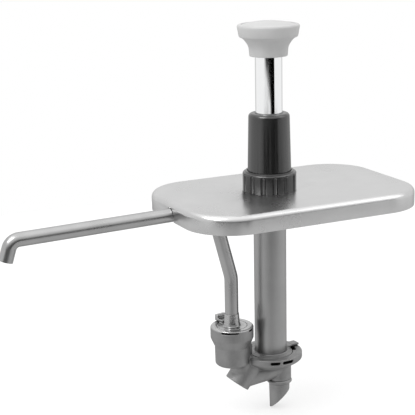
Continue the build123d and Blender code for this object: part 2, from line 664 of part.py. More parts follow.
def passages():
    """Liquid's way through the casting, from the intake up to the outlet ball."""
    seat_foot = INTAKE_SEAT_Z - SEAT_THICK
    chamber_z = CYLINDER_FOOT_Z + OVERLAP
    intake = disc(BALL_SPACE_R, seat_foot - OVERLAP, chamber_z, INTAKE_X)
    intake += disc(NOSE_THREAD_R, NECK_FOOT_Z - OVERLAP, INTAKE_SEAT_Z, INTAKE_X)
    bend_z = CYLINDER_FOOT_Z - PASSAGE_DROP
    outlet = disc(PASSAGE_R, bend_z, chamber_z, CHAMBER_PORT_X)
    outlet += rod_between(PASSAGE_R, stub_point(PASSAGE_START), (CHAMBER_PORT_X, bend_z))
    drilled_from = stub_point(PLUG_THICK - OVERLAP)
    outlet += rod_between(STUB_BORE_R, drilled_from, stub_point(STUB_BORE))
    outlet += rod_between(PLUG_R, stub_point(-OVERLAP), stub_point(PLUG_THICK))
    outlet += disc(SEAT_R, stub_point(RISE_START)[1], OUTLET_SEAT_Z, OUTLET_PORT_X)
    ball_space_foot = OUTLET_SEAT_Z - SEAT_THICK
    outlet += disc(BALL_SPACE_R, ball_space_foot, FITTING_FOOT_Z, OUTLET_PORT_X)
    return intake + outlet


def valve_body():
    """Cast body that joins the cylinder, the intake and the outlet cup."""
    return valve_castings() - socket_hollow() - cup_hollow() - passages()


def passage_plug():
    """Round plug in the drilled stub's face, with a driver slot."""
    plug = rod_between(PLUG_R - SNUG, stub_point(PLUG_SUNK), stub_point(PLUG_THICK))
    tilt = Plane(
        (stub_point(0)[0], 0, stub_point(0)[1]),
        x_dir=(0, 1, 0),
        z_dir=(sin(radians(STUB_TILT)), 0, cos(radians(STUB_TILT))),
    )
    return plug - tilt * Box(3 * PLUG_R, PLUG_SLOT, 2 * PLUG_SLOT)


def valve_seat(outer, seat_z, x):
    """Plastic ring that a ball closes on."""
    return ring(outer - SNUG, SEAT_R, seat_z - SEAT_THICK, seat_z, x)


def valve_ball(seat_z, x):
    """Steel ball, resting just over its seat."""
    return Pos(x, 0, seat_z + BALL_HEIGHT) * Sphere(BALL_R)


def intake_nose():
    """Screwed-in nose, cut slanting so that it can't seal on the jar's floor."""
    top = INTAKE_SEAT_Z - SEAT_THICK
    bead_r = NECK_R + NOSE_BEAD_WALL
    bore_top = NECK_FOOT_Z - NOSE_FLOOR + (NOSE_BORE_R - SEAT_R)
    outline = [
        (SEAT_R, top),
        (NOSE_THREAD_R - SNUG, top),
        (NOSE_THREAD_R - SNUG, NECK_FOOT_Z),
        (bead_r - NOSE_BEAD_EDGE, NECK_FOOT_Z),
        (bead_r, NECK_FOOT_Z - NOSE_BEAD_RISE),
        (bead_r, NECK_FOOT_Z - NOSE_BEAD_RISE - NOSE_BEAD_BAND),
        (NOSE_TOP_R, NECK_FOOT_Z - NOSE_BEAD),
        (NOSE_TIP_R, NOSE_TIP_Z - OVERLAP),
        (NOSE_BORE_R, NOSE_TIP_Z - OVERLAP),
        (NOSE_BORE_R, bore_top - (NOSE_BORE_R - SEAT_R)),
        (SEAT_R, bore_top),
    ]
    nose = turned(outline, INTAKE_X)
    below = 4 * NOSE_DROP
    waste = Rot(0, -NOSE_SLANT, 0) * (Pos(0, 0, -below / 2) * Box(below, below, below))
    turn = Pos(INTAKE_X, 0, NOSE_TIP_Z) * Rot(0, 0, NOSE_TURN)
    return nose - turn * (Pos(-NOSE_TIP_R, 0, 0) * waste)


def discharge_fitting():
    """Foot of the discharge tube: bayonet disc with a flared socket and an ear."""
    groove_foot = FITTING_GROOVE_Z - RING_WIRE_R
    groove_top = FITTING_GROOVE_Z + RING_WIRE_R
    groove_r = FITTING_R - 2 * RING_WIRE_R
    bore_r = TUBE_R + SNUG
    tube_foot = CUP_TOP_Z - TUBE_SEAT
    flow_r = TUBE_R - TUBE_WALL
    outline = [
        (flow_r, FITTING_FOOT_Z),
        (FITTING_R, FITTING_FOOT_Z),
        (FITTING_R, groove_foot),
        (groove_r, groove_foot),
        (groove_r, groove_top),
        (FITTING_R, groove_top),
        (FITTING_R, CUP_TOP_Z - FITTING_STEP),
        (TUBE_R + FLARE_WALL, CUP_TOP_Z - FITTING_STEP),
        (TUBE_R + FLARE_WALL - FLARE_EDGE, CUP_TOP_Z + FLARE_EDGE_RISE),
        (TUBE_R + FLARE_EDGE, CUP_TOP_Z + FLARE_RISE * FLARE_NECK_SHARE),
        (TUBE_R + FLARE_TIP_WALL, CUP_TOP_Z + FLARE_RISE),
        (bore_r, CUP_TOP_Z + FLARE_RISE),
        (bore_r, tube_foot),
        (flow_r, tube_foot),
    ]
    fitting = turned(outline, OUTLET_X)
    reach = FITTING_R + CUP_LUG_REACH - TWIST_GAP
    inner = FITTING_R - OVERLAP
    bottom = CUP_LUG_TOP_Z - CUP_LUG_THICK
    for angle in CUP_LUG_ANGLES:
        fitting += sector(reach, inner, bottom, CUP_LUG_TOP_Z, angle, CUP_LUG_WIDTH, OUTLET_X)
    return fitting + fitting_ear()


def fitting_ear():
    """Finger ear that twists the discharge tube in its cup."""
    arm_bottom = CUP_TOP_Z + EAR_GAP
    arm_start = TUBE_R + CUP_EAR_START
    arm_length = CUP_R - arm_start
    arm = Pos(arm_start + arm_length / 2, 0, arm_bottom + CUP_EAR_ARM / 2)
    arm = arm * Box(arm_length, CUP_EAR_WIDTH, CUP_EAR_ARM)
    block_height = CUP_EAR_RISE - EAR_GAP
    block = Pos(CUP_R - CUP_EAR_BLOCK / 2, 0, arm_bottom + block_height / 2)
    block = block * Box(CUP_EAR_BLOCK, CUP_EAR_WIDTH, block_height)
    block = fillet(block.edges().filter_by(Axis.Y).group_by(Axis.Z)[-1], CUP_EAR_EDGE_R)
    foot = Pos(arm_start + CUP_EAR_FOOT / 2, 0, CUP_TOP_Z)
    foot = foot * Box(CUP_EAR_FOOT, CUP_EAR_WIDTH, 3 * EAR_GAP)
    return Pos(OUTLET_X, 0, 0) * (Rot(0, 0, CUP_EAR_ANGLE) * (arm + block + foot))


def spout_height(x):
    """Height of the spout's centre line at x."""
    return SPOUT_START_Z - tan(radians(SPOUT_DROOP)) * (riser_top_x() - x)


def riser_top_x():
    """Where the leaning riser meets the spout's line."""
    return OUTLET_X - tan(radians(RISER_LEAN)) * (SPOUT_START_Z - RISER_BEND_Z)


def discharge_tube():
    """One bent tube: riser, bend under the lid, spout and turned-down tip."""
    corner_z = spout_height(-SPOUT_REACH)
    lean = radians(TIP_LEAN)
    points = [
        (OUTLET_X, 0, CUP_TOP_Z - TUBE_SEAT),
        (OUTLET_X, 0, RISER_BEND_Z),
        (riser_top_x(), 0, SPOUT_START_Z),
        (-SPOUT_REACH, 0, corner_z),
        (-SPOUT_REACH - TIP_LENGTH * sin(lean), 0, corner_z - TIP_LENGTH * cos(lean)),
    ]
    path = FilletPolyline(*points, radius=[RISER_BEND_R, SPOUT_BEND_R, TIP_BEND_R])
    start = Plane(path @ 0, z_dir=path % 0)
    outer = sweep(start * Circle(TUBE_R), path=path)
    return outer - sweep(start * Circle(TUBE_R - TUBE_WALL), path=path)


def knob():
    """Mushroom knob with a slightly tapered rim and a coved stem."""
    stem_r = PLUNGER_R + KNOB_STEM_WALL
    cap_r = KNOB_R - KNOB_CAP_LEDGE + SNUG
    rim_top = KNOB_TOP_Z - KNOB_CROWN
    rim_foot = rim_top - KNOB_RIM
    cove_foot = (stem_r + KNOB_STEM_FLARE, 0, KNOB_FOOT_Z + KNOB_STEM)
    rim_foot_r = KNOB_R - KNOB_RIM_TAPER
    cove_top = (rim_foot_r - KNOB_RIM_STEP, 0, rim_foot - KNOB_RIM_LEDGE)
    cove_width = cove_top[0] - cove_foot[0]
    cove_rise = cove_top[2] - cove_foot[2]
    stem = Polyline((0, 0, KNOB_FOOT_Z), (stem_r, 0, KNOB_FOOT_Z), cove_foot)
    cove = Spline(
        cove_foot,
        (cove_foot[0] + 0.14 * cove_width, 0, cove_foot[2] + 0.35 * cove_rise),
        (cove_foot[0] + 0.44 * cove_width, 0, cove_foot[2] + 0.69 * cove_rise),
        cove_top,
        tangents=[(0.08, 0, 1), (1, 0, 0.35)],
    )
    rim_edge = (KNOB_R, 0, rim_top - 0.5 * KNOB_EDGE)
    rim = Polyline(cove_top, (rim_foot_r, 0, rim_foot), rim_edge)
    crown_edge = (KNOB_R - KNOB_EDGE, 0, rim_top + 0.4 * KNOB_EDGE)
    edge_middle = (KNOB_R - 0.3 * KNOB_EDGE, 0, rim_top + 0.12 * KNOB_EDGE)
    edge = ThreePointArc(rim_edge, edge_middle, crown_edge)
    crown = Polyline(
        crown_edge,
        (cap_r, 0, rim_top + 0.45 * KNOB_EDGE),
        (cap_r, 0, KNOB_RECESS_Z),
        (0, 0, KNOB_RECESS_Z),
        (0, 0, KNOB_FOOT_Z),
    )
    body = revolve(make_face([stem, cove, rim, edge, crown]), Axis.Z)
    recess = KNOB_RECESS_Z + OVERLAP
    body -= disc(PLUNGER_R + SNUG, KNOB_FOOT_Z - OVERLAP, TUBE_TOP_Z)
    body -= disc(INSERT_BOSS_R + SNUG, TUBE_TOP_Z - OVERLAP, TUBE_TOP_Z + INSERT_BOSS)
    body -= disc(KNOB_SCREW_R + SCREW_GAP, TUBE_TOP_Z, recess)
    return body - disc(KNOB_SCREW_HEAD_R + SCREW_HEAD_GAP, SCREW_SEAT_Z, recess)


def knob_cap():
    """Slightly domed disc, snapped into the top of the knob over its screw."""
    cap_r = KNOB_R - KNOB_CAP_LEDGE
    rise = KNOB_DOME + KNOB_CAP_EDGE
    dome_r = (cap_r**2 + rise**2) / (2 * rise)
    dome = Pos(0, 0, KNOB_TOP_Z - dome_r) * Sphere(dome_r)
    return disc(cap_r, KNOB_RECESS_Z, KNOB_TOP_Z + OVERLAP) & dome


def knob_screw():
    """Screw that draws the knob down on its insert."""
    head_top = SCREW_SEAT_Z + KNOB_SCREW_HEAD
    screw = disc(KNOB_SCREW_HEAD_R, SCREW_SEAT_Z, head_top)
    screw += disc(KNOB_SCREW_R, SCREW_SEAT_Z - KNOB_SCREW_LENGTH, SCREW_SEAT_Z)
    return screw - Pos(0, 0, head_top) * Box(3 * KNOB_SCREW_HEAD_R, SCREW_SLOT, 2 * SCREW_SLOT)


def knob_insert():
    """Metal plug in the top of the plunger tube: rod, knob and spring bear on it."""
    boss_top = TUBE_TOP_Z + INSERT_BOSS
    insert = disc(PLUNGER_R - PLUNGER_WALL - SNUG, INSERT_Z, TUBE_TOP_Z)
    insert += disc(INSERT_BOSS_R, TUBE_TOP_Z, boss_top)
    insert -= disc(ROD_R + SNUG, INSERT_Z - OVERLAP, TUBE_TOP_Z)
    screw_foot = SCREW_SEAT_Z - KNOB_SCREW_LENGTH - SCREW_GAP
    return insert - disc(KNOB_SCREW_R + SNUG, screw_foot, boss_top + OVERLAP)


def plunger_tube():
    """Chromed tube round the spring, sliding in the guide."""
    return ring(PLUNGER_R, PLUNGER_R - PLUNGER_WALL, PLUNGER_FOOT_Z, TUBE_TOP_Z)


def piston_rod():
    """Rod from the knob insert down to the piston, stepped for its stack."""
    rod = disc(ROD_R, ROD_SHOULDER_Z, TUBE_TOP_Z)
    rod += disc(ROD_THREAD_R, ROD_FOOT_Z, ROD_SHOULDER_Z)
    return chamfer(circles_at(rod, ROD_FOOT_Z), ROD_END_CHAMFER)


def piston_washer(top):
    """Plain washer that backs the piston."""
    return ring(BORE_R - WASHER_LEDGE, ROD_THREAD_R + SNUG, top - WASHER, top)


def ring_levels():
    """Heights of the piston's two sealing rings."""
    return [PISTON_TOP_Z - PISTON_LENGTH * share for share in PISTON_RING_SHARES]


def piston():
    """Plastic piston with a groove for each sealing ring."""
    body = ring(PISTON_R, ROD_THREAD_R + SNUG, PISTON_FOOT_Z, PISTON_TOP_Z)
    groove_r = PISTON_R - 2 * RING_WIRE_R
    for level in ring_levels():
        body -= ring(BORE_R + OVERLAP, groove_r, level - RING_WIRE_R, level + RING_WIRE_R)
    return body


def piston_ring(level):
    """Rubber ring that seals the piston to the cylinder."""
    return seal_ring(PISTON_R - RING_WIRE_R, level)


def piston_nut():
    """Hexagon nut that holds the stack on the rod."""
    corner_r = PISTON_NUT_FLATS / 2 / cos(radians(30))
    nut = extrude(RegularPolygon(corner_r, 6), PISTON_NUT)
    nut = Pos(0, 0, PISTON_NUT_Z - PISTON_NUT) * nut
    return nut - disc(ROD_THREAD_R + SNUG, PISTON_NUT_Z - PISTON_NUT - OVERLAP, PISTON_NUT_Z + OVERLAP)


upper_ring_z, lower_ring_z = ring_levels()

parts = {
    "lid": lid(),
    "lock_nut": lock_nut(),
    "plunger_guide": plunger_guide(),
    "cylinder_head": cylinder_head(),
    "cylinder_tube": cylinder_tube(),
    "cylinder_flange": cylinder_flange(),
    "flange_gasket": flange_gasket(),
    "rod_bush": rod_bush(),
    "bush_circlip": bush_circlip(),
    "return_spring": return_spring(),
    "valve_body": valve_body(),
    "passage_plug": passage_plug(),
    "intake_seat": valve_seat(NOSE_THREAD_R, INTAKE_SEAT_Z, INTAKE_X),
    "intake_nose": intake_nose(),
    "intake_ball": valve_ball(INTAKE_SEAT_Z, INTAKE_X),
    "outlet_seat": valve_seat(BALL_SPACE_R, OUTLET_SEAT_Z, OUTLET_PORT_X),
    "outlet_ball": valve_ball(OUTLET_SEAT_Z, OUTLET_PORT_X),
    "discharge_fitting": discharge_fitting(),
    "fitting_o_ring": seal_ring(FITTING_R - RING_WIRE_R, FITTING_GROOVE_Z, OUTLET_X),
    "discharge_tube": discharge_tube(),
    "knob": knob(),
    "knob_cap": knob_cap(),
    "knob_screw": knob_screw(),
    "knob_insert": knob_insert(),
    "plunger_tube": plunger_tube(),
    "piston_rod": piston_rod(),
    "upper_piston_washer": piston_washer(ROD_SHOULDER_Z),
    "piston": piston(),
    "upper_piston_ring": piston_ring(upper_ring_z),
    "lower_piston_ring": piston_ring(lower_ring_z),
    "lower_piston_washer": piston_washer(PISTON_FOOT_Z),
    "piston_nut": piston_nut(),
}

os.makedirs("parts", exist_ok=True)
for node, solid in parts.items():
    export_step(solid, f"parts/{node}.step")
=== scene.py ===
import json
import math

import bmesh
import bpy
from mathutils import Matrix, Vector

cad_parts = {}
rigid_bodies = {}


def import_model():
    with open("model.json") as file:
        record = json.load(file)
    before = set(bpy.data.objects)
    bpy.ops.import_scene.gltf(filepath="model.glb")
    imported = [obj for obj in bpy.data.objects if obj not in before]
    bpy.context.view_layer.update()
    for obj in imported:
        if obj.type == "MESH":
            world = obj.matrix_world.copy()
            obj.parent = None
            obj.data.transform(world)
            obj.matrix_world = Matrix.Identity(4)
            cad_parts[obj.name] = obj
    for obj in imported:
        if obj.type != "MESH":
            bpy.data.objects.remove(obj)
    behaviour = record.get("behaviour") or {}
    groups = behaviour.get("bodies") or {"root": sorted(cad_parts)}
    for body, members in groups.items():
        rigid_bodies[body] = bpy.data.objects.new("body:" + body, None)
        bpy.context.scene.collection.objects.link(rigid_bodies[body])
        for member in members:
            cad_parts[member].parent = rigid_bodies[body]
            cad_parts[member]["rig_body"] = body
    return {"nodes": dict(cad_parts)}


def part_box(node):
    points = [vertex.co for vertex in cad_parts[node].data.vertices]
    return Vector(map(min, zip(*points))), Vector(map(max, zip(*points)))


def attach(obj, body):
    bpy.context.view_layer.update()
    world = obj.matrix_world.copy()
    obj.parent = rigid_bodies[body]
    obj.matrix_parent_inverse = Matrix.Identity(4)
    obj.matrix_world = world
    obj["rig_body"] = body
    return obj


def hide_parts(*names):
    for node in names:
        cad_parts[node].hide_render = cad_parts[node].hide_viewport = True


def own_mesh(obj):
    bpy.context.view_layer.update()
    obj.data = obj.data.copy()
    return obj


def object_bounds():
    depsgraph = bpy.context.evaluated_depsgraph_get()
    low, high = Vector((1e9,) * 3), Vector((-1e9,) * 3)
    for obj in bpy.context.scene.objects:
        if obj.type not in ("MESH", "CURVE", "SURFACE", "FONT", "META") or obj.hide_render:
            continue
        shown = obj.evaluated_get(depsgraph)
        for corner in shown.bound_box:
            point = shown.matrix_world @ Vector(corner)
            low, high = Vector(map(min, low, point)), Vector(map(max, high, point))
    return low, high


MM = 0.001

# The camera stands in front of the pump and to its left, a little above the lid.
CAMERA_AZIMUTH = -28.55
CAMERA_ELEVATION = 14.32
CAMERA_DISTANCE = 1.0387
CAMERA_AIM = (-0.0488, 0.0234, 0.0005)
CAMERA_ROLL = -1.205
CAMERA_LENS = 103.39
SENSOR_WIDTH = 36.0
CAMERA_NEAR = 10 * MM

# Most of a noise's values lie between these two.
NOISE_LOW = 0.3
NOISE_HIGH = 0.7
NOISE_ROUGHNESS = 0.55

# Points nearer than this are joined, and so are faces that meet at less than this many degrees.
WELD_DISTANCE = 0.002 * MM
FLAT_ANGLE = 0.4

# Edges sharper than this, in degrees, are rounded off in this many facets.
EASED_ANGLE = 35
EASED_SEGMENTS = 3

# Edges sharper than this, in degrees, stay crisp under smooth shading.
CRISP_ANGLE = 40

# How strongly each round of smoothing pulls a casting's points together.
RELAX_SHARE = 0.5

FLOOR_RADIUS = 0.8
FLOOR_SIDES = 96
FLOOR_GAP = 0.2 * MM
FLOOR_GREY = 0.35
FLOOR_ROUGHNESS = 0.9
FLOOR_GLOW = 0.6

LIGHT_AIM = (0, 0, 30 * MM)

# The surroundings, as the shiny parts reflect them. A turn is an angle in degrees about the upright,
# 0 along +X and -90 in front, along -Y. A rise is the upward part of a direction: -1 is straight
# down. Four numbers make a strip, which eases in from the first to the second and out from the third
# to the fourth. The doorway's two sides lean, from the first turn at the first rise to the second,
# and their blur is in radians. A shade with two rises grows from none at the first to its full
# darkness at the second. Darkness 1 is black, and the ceiling's glow is added to white.
DOOR_RISES = (-0.23, -0.19, 0.2, 0.4)
DOOR_LEFT_RISES = (-0.17, -0.12)
DOOR_LEFT_TURNS = (-99, -150)
DOOR_LEFT_BLUR = (-0.2, 0.1)
DOOR_RIGHT_RISES = (-0.1, 0.15)
DOOR_RIGHT_TURNS = (-69.5, -45)
DOOR_RIGHT_BLUR = (-0.03, 0.03)
DOOR_FADE_RISES = (0.0, 0.2)
DOOR_DARKNESS = (1.0, 0.6)
SHELF_TURNS = (-170, -150, -50, -35)
SHELF_RISES = (-0.24, -0.22, -0.185, -0.17)
CORNER_TURNS = (-145, -122, -108, -85)
CORNER_RISES = (-0.18, -0.22)
CORNER_DARKNESS = 0.25
WALL_TURNS = (5, 35, 90, 120)
WALL_RISES = (0.2, 0.0)
WALL_DARKNESS = 0.35
GROUND_RISES = (-0.16, -0.24)
GROUND_DARKNESS = 0.2
CEILING_RISES = (0.5, 0.95)
CEILING_GLOW = 0.55

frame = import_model()
cad_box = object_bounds()
nodes = frame["nodes"]


# ---------------------------------------------------------------- shader helpers
# The owner of a shader's nodes is a material or the world.


def new_material(name):
    """An empty node material and its Principled shader."""
    material = bpy.data.materials.new(name)
    material.use_nodes = True
    shader = material.node_tree.nodes["Principled BSDF"]
    return material, shader


def add_node(owner, kind, **settings):
    """A new node, with the given input values and attributes."""
    node = owner.node_tree.nodes.new(kind)
    for name, value in settings.items():
        title = name.replace("_", " ").title()
        if title in node.inputs:
            node.inputs[title].default_value = value
        else:
            setattr(node, name, value)
    return node


def link(owner, output, target):
    """Joins two sockets."""
    owner.node_tree.links.new(output, target)


def grey(level):
    """An opaque neutral colour."""
    return (level, level, level, 1)


def object_space(material, stretch=(1, 1, 1)):
    """Coordinates in the object's frame, in metres, scaled along each axis."""
    coordinates = add_node(material, "ShaderNodeTexCoord")
    mapping = add_node(material, "ShaderNodeMapping", scale=stretch)
    link(material, coordinates.outputs["Object"], mapping.inputs["Vector"])
    return mapping.outputs["Vector"]


def noise(material, space, scale, detail):
    """Fractal noise between 0 and 1. Scale is in cycles a metre."""
    texture = add_node(
        material, "ShaderNodeTexNoise", scale=scale, detail=detail, roughness=NOISE_ROUGHNESS
    )
    link(material, space, texture.inputs["Vector"])
    return texture.outputs["Fac"]


def spread(owner, value, low, high, start=NOISE_LOW, end=NOISE_HIGH, interpolation="LINEAR"):
    """A value between start and end becomes one between low and high."""
    change = add_node(
        owner,
        "ShaderNodeMapRange",
        interpolation_type=interpolation,
        from_min=start,
        from_max=end,
        to_min=low,
        to_max=high,
    )
    link(owner, value, change.inputs["Value"])
    return change.outputs["Result"]


def ease(owner, value, start, end, low=0.0, high=1.0):
    """Goes smoothly from low to high as value goes from start to end."""
    return spread(owner, value, low, high, start, end, "SMOOTHSTEP")


def tinted(material, value, dark, light, start=NOISE_LOW, end=NOISE_HIGH):
    """A ramp between two greys."""
    ramp = add_node(material, "ShaderNodeValToRGB")
    for element, position, level in zip(ramp.color_ramp.elements, (start, end), (dark, light)):
        element.position = position
        element.color = grey(level)
    link(material, value, ramp.inputs["Fac"])
    return ramp.outputs["Color"]


def maths(owner, operation, first, second):
    """One sum on two terms, each a number or a socket."""
    node = add_node(owner, "ShaderNodeMath", operation=operation)
    for socket, term in zip(node.inputs, (first, second)):
        if isinstance(term, (int, float)):
            socket.default_value = term
        else:
            link(owner, term, socket)
    return node.outputs["Value"]


def multiplied(owner, first, second):
    """The product of two values."""
    return maths(owner, "MULTIPLY", first, second)


def bumped(material, shader, height, depth, strength, under=None):
    """Relief of the given depth in metres on the shader's normal."""
    bump = add_node(material, "ShaderNodeBump", strength=strength, distance=depth)
    link(material, height, bump.inputs["Height"])
    if under is not None:
        link(material, under, bump.inputs["Normal"])
    link(material, bump.outputs["Normal"], shader.inputs["Normal"])
    return bump.outputs["Normal"]


# ---------------------------------------------------------------- materials


def brushed_steel(name, dark, light, rough, grain_axis, anisotropy=0.0):
    """Stainless steel with a fine grain along one axis and faint handling marks.

    Anisotropy smears its reflections across the grain, which is round that axis.
    """
    material, shader = new_material(name)
    stretch = tuple(0.02 if axis == grain_axis else 1.0 for axis in "xyz")
    grain = noise(material, object_space(material, stretch), scale=2600, detail=4)
    marks = noise(material, object_space(material), scale=34, detail=4)
    link(material, tinted(material, marks, dark, light), shader.inputs["Base Color"])
    smooth = spread(material, marks, low=rough - 0.015, high=rough + 0.02)
    link(material, smooth, shader.inputs["Roughness"])
    bumped(material, shader, grain, depth=0.003 * MM, strength=0.5)
    shader.inputs["Metallic"].default_value = 1.0
    if anisotropy:
        around = add_node(
            material, "ShaderNodeTangent", direction_type="RADIAL", axis=grain_axis.upper()
        )
        link(material, around.outputs["Tangent"], shader.inputs["Tangent"])
        shader.inputs["Anisotropic"].default_value = anisotropy
    return material


def cast_steel():
    """Investment-cast stainless steel: pebbled, with painted shade in its hollows, polished above the
    cup's rim.
    """
    material, shader = new_material("cast_stainless")
    space = object_space(material)
    pebbles = noise(material, space, scale=1500, detail=3)
    cloud = noise(material, space, scale=90, detail=5)
    # Painted shade: ambient occlusion darkens the colour in hollows and between parts, where shade
    # falls.
    hollows = add_node(material, "ShaderNodeAmbientOcclusion", distance=6 * MM)
    painted_hollow_shade = spread(material, hollows.outputs["AO"], low=0.0, high=1.0, start=0.2, end=0.95)
    mottled = spread(material, cloud, low=0.8, high=1.0)
    place = add_node(material, "ShaderNodeSeparateXYZ")
    link(material, space, place.inputs["Vector"])
    height = place.outputs["Z"]
    cup_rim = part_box("valve_body")[1][2]
    polish_start = cup_rim - 1.6 * MM
    polish_end = cup_rim - 0.6 * MM
    bright = spread(material, height, low=0.62, high=1.0, start=polish_start, end=polish_end)
    shade = multiplied(material, multiplied(material, painted_hollow_shade, mottled), bright)
    colour = tinted(material, shade, dark=0.06, light=0.5, start=0, end=1)
    link(material, colour, shader.inputs["Base Color"])
    matt = spread(material, pebbles, low=0.42, high=0.6)
    dull = spread(material, height, low=1.0, high=0.5, start=polish_start, end=polish_end)
    link(material, multiplied(material, matt, dull), shader.inputs["Roughness"])
    fine = bumped(material, shader, pebbles, depth=0.08 * MM, strength=0.5)
    bumped(material, shader, cloud, depth=0.6 * MM, strength=0.35, under=fine)
    shader.inputs["Metallic"].default_value = 1.0
    return material


def chrome():
    """Chrome plate, almost a mirror, with faint wiping marks along the tube."""
    material, shader = new_material("chrome_plate")
    wipes = noise(material, object_space(material, (1, 1, 0.08)), scale=700, detail=3)
    link(material, spread(material, wipes, low=0.05, high=0.1), shader.inputs["Roughness"])
    shader.inputs["Base Color"].default_value = (0.86, 0.865, 0.87, 1)
    bumped(material, shader, wipes, depth=0.008 * MM, strength=0.25)
    shader.inputs["Metallic"].default_value = 1.0
    return material


def moulded(name, dark, light, rough, relief, gloss=0.5):
    """Moulded plastic: even colour, fine spark texture and slight flow marks."""
    material, shader = new_material(name)
    space = object_space(material)
    texture = noise(material, space, scale=2400, detail=2)
    flow = noise(material, space, scale=60, detail=3)
    link(material, tinted(material, flow, dark, light), shader.inputs["Base Color"])
    dull = spread(material, texture, low=rough - 0.05, high=rough + 0.06)
    link(material, dull, shader.inputs["Roughness"])
    bumped(material, shader, texture, relief, strength=0.4)
    shader.inputs["Specular IOR Level"].default_value = gloss
    return material


MATERIALS = {
    "lid_steel": brushed_steel(
        "lid_satin_steel", dark=0.54, light=0.59, rough=0.28, grain_axis="x", anisotropy=0.5
    ),
    "tube_steel": brushed_steel(
        "spout_satin_steel", dark=0.36, light=0.42, rough=0.28, grain_axis="x"
    ),
    "cylinder_steel": brushed_steel(
        "cylinder_satin_steel", dark=0.36, light=0.41, rough=0.34, grain_axis="z", anisotropy=0.5
    ),
    "cast_steel": cast_steel(),
    "chrome": chrome(),
    "bright_steel": brushed_steel(
        "bright_steel", dark=0.66, light=0.74, rough=0.14, grain_axis="z"
    ),
    "black_plastic": moulded(
        "black_acetal", dark=0.002, light=0.004, rough=0.22, relief=0.01 * MM, gloss=1.0
    ),
    "grey_plastic": moulded(
        "grey_plastic", dark=0.43, light=0.47, rough=0.42, relief=0.012 * MM, gloss=0.4
    ),
    "white_plastic": moulded(
        "white_acetal", dark=0.72, light=0.78, rough=0.4, relief=0.01 * MM
    ),
    "black_rubber": moulded(
        "black_rubber", dark=0.02, light=0.03, rough=0.7, relief=0.03 * MM, gloss=0.3
    ),
}

FINISH = {
    "lid": "lid_steel",
    "lock_nut": "black_plastic",
    "plunger_guide": "black_plastic",
    "cylinder_head": "cylinder_steel",
    "cylinder_tube": "cylinder_steel",
    "cylinder_flange": "cast_steel",
    "flange_gasket": "black_rubber",
    "rod_bush": "white_plastic",
    "bush_circlip": "bright_steel",
    "return_spring": "bright_steel",
    "valve_body": "cast_steel",
    "passage_plug": "cast_steel",
    "intake_seat": "white_plastic",
    "intake_nose": "cast_steel",
    "intake_ball": "bright_steel",
    "outlet_seat": "white_plastic",
    "outlet_ball": "bright_steel",
    "discharge_fitting": "cast_steel",
    "fitting_o_ring": "black_rubber",
    "discharge_tube": "tube_steel",
    "knob": "grey_plastic",
    "knob_cap": "grey_plastic",
    "knob_screw": "bright_steel",
    "knob_insert": "bright_steel",
    "plunger_tube": "chrome",
    "piston_rod": "bright_steel",
    "upper_piston_washer": "bright_steel",
    "piston": "white_plastic",
    "upper_piston_ring": "black_rubber",
    "lower_piston_ring": "black_rubber",
    "lower_piston_washer": "bright_steel",
    "piston_nut": "bright_steel",
}


# ---------------------------------------------------------------- mesh helpers


def finished(piece, finish):
    """Gives a piece or a CAD node one material."""
    piece.data.materials.clear()
    piece.data.materials.append(MATERIALS[finish])


def welded_copy(node, name):
    """A new object with the node's shape, its points joined and its flat faces whole."""
    mesh = nodes[node].data.copy()
    mesh.name = name
    if "custom_normal" in mesh.attributes:
        mesh.attributes.remove(mesh.attributes["custom_normal"])
    form = bmesh.new()
    form.from_mesh(mesh)
    bmesh.ops.remove_doubles(form, verts=form.verts, dist=WELD_DISTANCE)
    flat = math.radians(FLAT_ANGLE)
    bmesh.ops.dissolve_limit(form, angle_limit=flat, verts=form.verts, edges=form.edges)
    form.to_mesh(mesh)
    form.free()
    piece = bpy.data.objects.new(name, mesh)
    bpy.context.scene.collection.objects.link(piece)
    return piece


def baked(piece):
    """Applies the piece's modifiers."""
    bpy.context.view_layer.update()
    shown = piece.evaluated_get(bpy.context.evaluated_depsgraph_get())
    mesh = bpy.data.meshes.new_from_object(shown)
    piece.modifiers.clear()
    piece.data = mesh


def smoothed(piece):
    """Smooth shading all over."""
    piece.data.polygons.foreach_set("use_smooth", [True] * len(piece.data.polygons))


def shaded(piece):
    """Smooth shading, with the hard edges kept."""
    smoothed(piece)
    piece.data.set_sharp_from_angle(angle=math.radians(CRISP_ANGLE))


def stands_for(piece, node):
    """The piece takes the node's place, body and finish."""
    finished(piece, FINISH[node])
    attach(piece, nodes[node]["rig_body"])
    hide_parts(node)


def eased(node, name, width):
    """The node's shape with its hard edges broken."""
    piece = welded_copy(node, name)
    bevel = piece.modifiers.new("eased_edges", "BEVEL")
    bevel.width = width
    bevel.segments = EASED_SEGMENTS
    bevel.limit_method = "ANGLE"
    bevel.angle_limit = math.radians(EASED_ANGLE)
    bevel.use_clamp_overlap = True
    baked(piece)
    shaded(piece)
    stands_for(piece, node)


def cast(node, name, grain, rounds):
    """The node's shape with the soft corners and fillets of a casting."""
    piece = welded_copy(node, name)
    remesh = piece.modifiers.new("skin", "REMESH")
    remesh.mode = "VOXEL"
    remesh.voxel_size = grain
    relax = piece.modifiers.new("soft_corners", "SMOOTH")
    relax.factor = RELAX_SHARE
    relax.iterations = rounds
    baked(piece)
    smoothed(piece)
    stands_for(piece, node)


def spring(node, name):
    """A coil in the node's place, smooth shaded, with a mesh of its own."""
    piece = welded_copy(node, name)
    shaded(piece)
    stands_for(piece, node)
    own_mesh(piece)


# ---------------------------------------------------------------- the pieces


for node, finish in FINISH.items():
    finished(nodes[node], finish)

